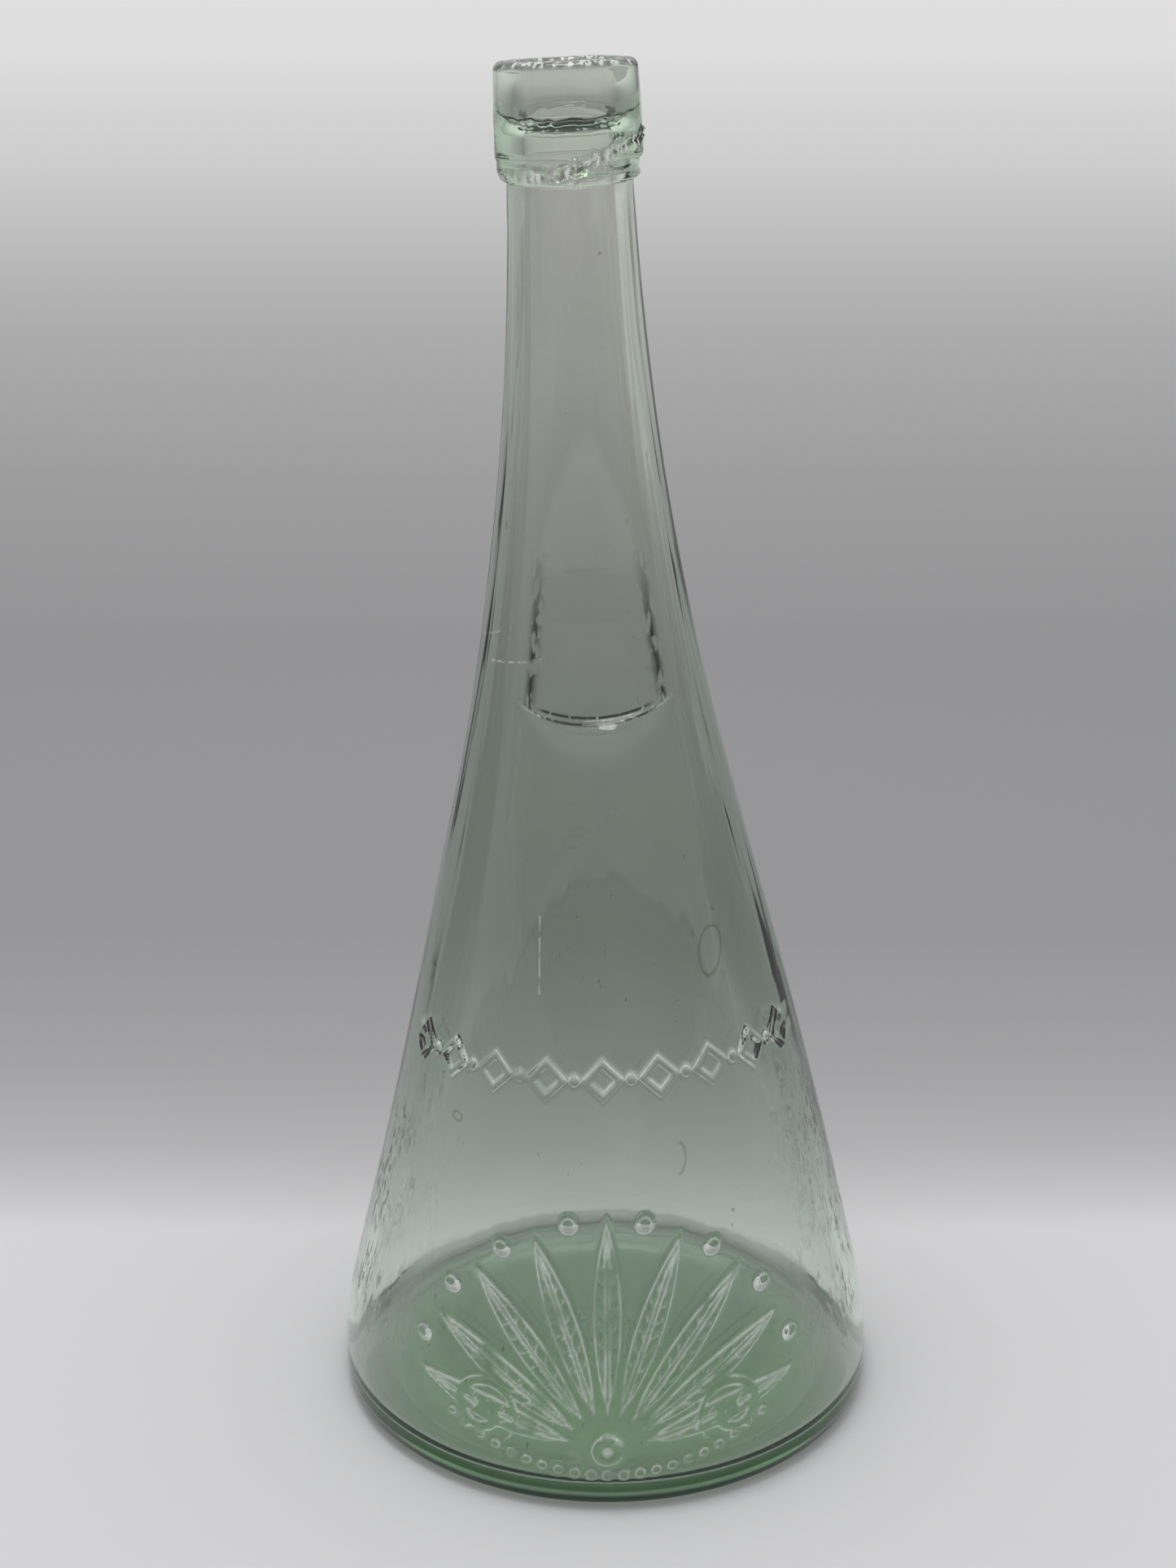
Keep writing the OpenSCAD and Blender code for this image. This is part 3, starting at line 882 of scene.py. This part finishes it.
def floor_material(stage):
    """Matt paper, with painted shade behind the bottle, pale again towards the horizon, and a painted pool of
    light under the base.
    """
    material = bpy.data.materials.new("paper_floor")
    material.use_nodes = True
    tree = material.node_tree
    shader = tree.nodes["Principled BSDF"]
    shader.inputs["Roughness"].default_value = 0.9
    shader.inputs["Specular IOR Level"].default_value = 0
    x, y, _ = parts(tree, tree.nodes.new("ShaderNodeTexCoord").outputs["Object"])
    # The ramp paints shade by distance behind the bottle: the near colour, then the darker middle colour as
    # painted shade, then the far colour towards the horizon.
    ramp = tree.nodes.new("ShaderNodeValToRGB")
    tree.links.new((y.max(0.01).math("LOGARITHM", 10) / 3 + 2 / 3).socket, ramp.inputs[0])
    stops = [(0.01, stage.near, 0), (0.055, stage.near, 0), (0.1, stage.near, 0.6), (0.15, stage.near, 0.84),
             (0.25, stage.near, 1), (0.6, stage.far, 1), (0.93, stage.far, 0.9), (1.6, stage.far, 0.7),
             (3.3, stage.far, 0.27), (8.5, stage.far, 0)]
    for place, (metres, value, shade) in enumerate(stops):
        at = (math.log10(metres) + 2) / 3
        stop = ramp.color_ramp.elements[place] if place < 2 else ramp.color_ramp.elements.new(at)
        stop.position = at
        stop.color = (*(v + (m - v) * shade for v, m in zip(value, stage.middle)), 1)
    # Painted light: a pale pool painted under the base and just before it, where the glass would gather
    # light.
    pool = 1 - distance(x * 0.75, y + 42 * MM).step(26 * MM, 50 * MM)
    pool = pool * (1 - distance(x, y).step(54 * MM, 57.5 * MM))
    tree.links.new(tinted(tree, ramp.outputs[0], pool, stage.pool), shader.inputs["Base Color"])
    return material


def link(obj):
    bpy.context.scene.collection.objects.link(obj)
    return obj


class BOTTLE_OT_glass(bpy.types.Operator):
    """Make the glass bottle around the packed solid"""

    bl_idname = "bottle.glass"
    bl_label = "Glass Bottle"

    def execute(self, context):
        s, n = context.scene.bottle_sizes, context.scene.bottle_ornament
        outline = Outline(s)
        values = {
            "Relief": n.relief, "Band height": n.band_z, "Lozenges": n.lozenges, "Lozenge": n.lozenge_d,
            "Stud": n.stud_d, "Band span": n.band_span, "Band radius": outline.side(n.band_z),
            "Root height": n.root_z, "Root": n.root_d, "Leaves": n.leaves, "Leaf span": n.leaf_span,
            "Middle leaf": n.leaf_l, "Side leaf": n.side_leaf_l, "Leaf width": n.leaf_w, "Berry": n.berry_d,
            "Scroll place": n.scroll_x, "Scroll height": n.scroll_z, "Scroll": n.scroll_r, "Pearl": n.pearl_d,
            "Heel rounding": s.heel_r, "Wall": s.wall, "Recess flat": s.flat_y, "Recess height": s.flat_z,
            "Recess radius": s.flat_r, "Ledge slope": s.ledge, "Lean": s.lean, "Lean start": s.lean_low,
            "Lean end": s.lean_high, "Lip start": outline.lip_z, "Lip height": s.lip_h,
            "Lip radius": s.lip_d / 2, "Mouth depth": s.mouth_depth,
        }
        tree, entry, fields, identifiers = group_with_inputs("Moulded glass", values)
        geometry = add_glass_form(tree, entry, fields)
        finish_tree(tree, geometry, glass_material(context.scene.bottle_glass))
        piece = link(bpy.data.objects.new("glass_bottle", revolve("glass_bottle", s, outline)))
        baked(piece, tree, values, identifiers)
        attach(piece, "root")
        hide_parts("bottle")
        return {"FINISHED"}


class BOTTLE_OT_stage(bpy.types.Operator):
    """Lay the floor, hang the soft light and set the camera at the photograph's view"""

    bl_idname = "bottle.stage"
    bl_label = "Stage"

    def execute(self, context):
        stage = context.scene.bottle_stage
        self.floor(stage)
        self.light(context.scene, stage)
        self.camera(context.scene)
        context.scene.view_settings.view_transform = "Standard"
        return {"FINISHED"}

    def floor(self, stage):
        reach, sides = 40.0, 64
        mesh = bpy.data.meshes.new("floor")
        turns = [math.tau * i / sides for i in range(sides)]
        rim = [(reach * math.cos(a), reach * math.sin(a), -stage.drop) for a in turns]
        mesh.from_pydata(rim, [], [tuple(range(sides))])
        mesh.materials.append(floor_material(stage))
        link(bpy.data.objects.new("floor", mesh))

    def light(self, scene, stage):
        lamp = bpy.data.lights.new("soft_top", "AREA")
        lamp.shape = "RECTANGLE"
        lamp.size, lamp.size_y = 0.5, 0.35
        lamp.energy = stage.lamp
        top = link(bpy.data.objects.new("soft_top", lamp))
        top.location = (-0.1, -0.1, 1.3)
        top.rotation_euler = (Vector((0, 0, 0.1)) - top.location).to_track_quat("-Z", "Y").to_euler()
        world = bpy.data.worlds.new("even_light")
        world.use_nodes = True
        tree = world.node_tree
        background = tree.nodes["Background"]
        _, _, up = parts(tree, tree.nodes.new("ShaderNodeTexCoord").outputs["Generated"])
        bright = up.step(-0.1, 0.75).mix(0.5, 1.12)
        tree.links.new(vector(tree, bright, bright, bright), background.inputs["Color"])
        background.inputs["Strength"].default_value = stage.sky
        scene.world = world

    def camera(self, scene):
        data = bpy.data.cameras.new("camera")
        focal_pixels, sensor = 2894, 36
        data.sensor_fit = "VERTICAL"
        data.sensor_height = sensor
        data.sensor_width = sensor
        data.lens = focal_pixels / PHOTO_SIZE[1] * sensor
        camera = link(bpy.data.objects.new("camera", data))
        camera.location = (-3.93 * MM, -460.36 * MM, 296.52 * MM)
        camera.rotation_euler = (math.radians(90 - 19.227), 0, 0)
        scene.camera = camera


class BOTTLE_PT_panel(bpy.types.Panel):
    """Lists the sizes and colours, and the steps that make the pieces"""

    bl_idname = "BOTTLE_PT_panel"
    bl_label = "Leaning Glass Bottle"
    bl_space_type = "VIEW_3D"
    bl_region_type = "UI"
    bl_category = "Bottle"

    def draw(self, context):
        for name, group in GROUPS.items():
            box = self.layout.box()
            box.label(text=group.__doc__)
            settings = getattr(context.scene, name)
            for key in group.__annotations__:
                box.prop(settings, key)
        for step in STEPS:
            self.layout.operator(step.bl_idname)


GROUPS = {
    "bottle_sizes": BottleSizes,
    "bottle_ornament": BottleOrnament,
    "bottle_glass": BottleGlass,
    "bottle_stage": BottleStage,
}
STEPS = (BOTTLE_OT_stage, BOTTLE_OT_glass)
CLASSES = (*GROUPS.values(), *STEPS, BOTTLE_PT_panel)


def register():
    for cls in CLASSES:
        bpy.utils.register_class(cls)
    for name, group in GROUPS.items():
        setattr(bpy.types.Scene, name, bpy.props.PointerProperty(type=group))


def unregister():
    for name in GROUPS:
        delattr(bpy.types.Scene, name)
    for cls in reversed(CLASSES):
        bpy.utils.unregister_class(cls)


def main():
    register()
    bpy.ops.bottle.stage()
    bpy.ops.bottle.glass()


if __name__ == "__main__":
    main()
